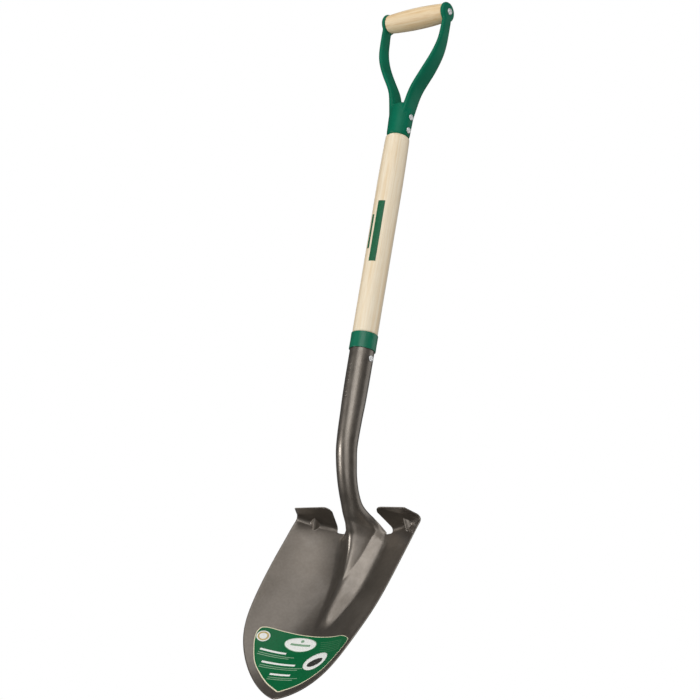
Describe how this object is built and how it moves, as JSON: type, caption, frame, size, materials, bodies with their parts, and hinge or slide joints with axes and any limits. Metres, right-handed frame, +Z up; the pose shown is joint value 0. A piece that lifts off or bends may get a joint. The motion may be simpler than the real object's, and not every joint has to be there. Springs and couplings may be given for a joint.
{
  "type": "round point shovel",
  "caption": "Round point digging shovel with a dished steel blade, cranked socket, wooden shaft and steel D handle with a turned wooden grip.",
  "frame": {"origin": "on the underside of the wooden hand grip, at the middle of its length, on the shaft's centre line: the place that a hook or a hand holds it up by", "axes": "+Z up along the shaft toward the grip, -Y the way the digging face of the blade looks, +X to the right for someone who faces the digging face"},
  "size_m": [0.2232, 0.1397, 1.0727],
  "materials": {
    "blade_steel": "lacquered tempered steel, satin, warm grey brown",
    "shaft_wood": "pale ash with a clear satin lacquer",
    "grip_wood": "turned pale ash, clear satin lacquer",
    "green_paint": "gloss green enamel over steel",
    "green_plastic": "smooth moulded green plastic",
    "rivet_metal": "bright, lightly marked by the riveting tool",
    "label_film": "glossy printed film"
  },
  "bodies": {
    "shovel": {"blade": "blade_steel", "blade_label": "label_film", "collar": "green_plastic", "shaft": "shaft_wood", "socket_rivet": "rivet_metal", "yoke": "green_paint", "yoke_rivet_lower": "rivet_metal", "yoke_rivet_upper": "rivet_metal", "grip_rod": "rivet_metal"},
    "grip": {"grip": "grip_wood"}
  },
  "joints": [
    {"name": "grip_turn", "type": "hinge", "parent": "shovel", "child": "grip", "pos_m": [0, 0, 0.0167], "axis": [1, 0, 0], "continuous": true}
  ]
}
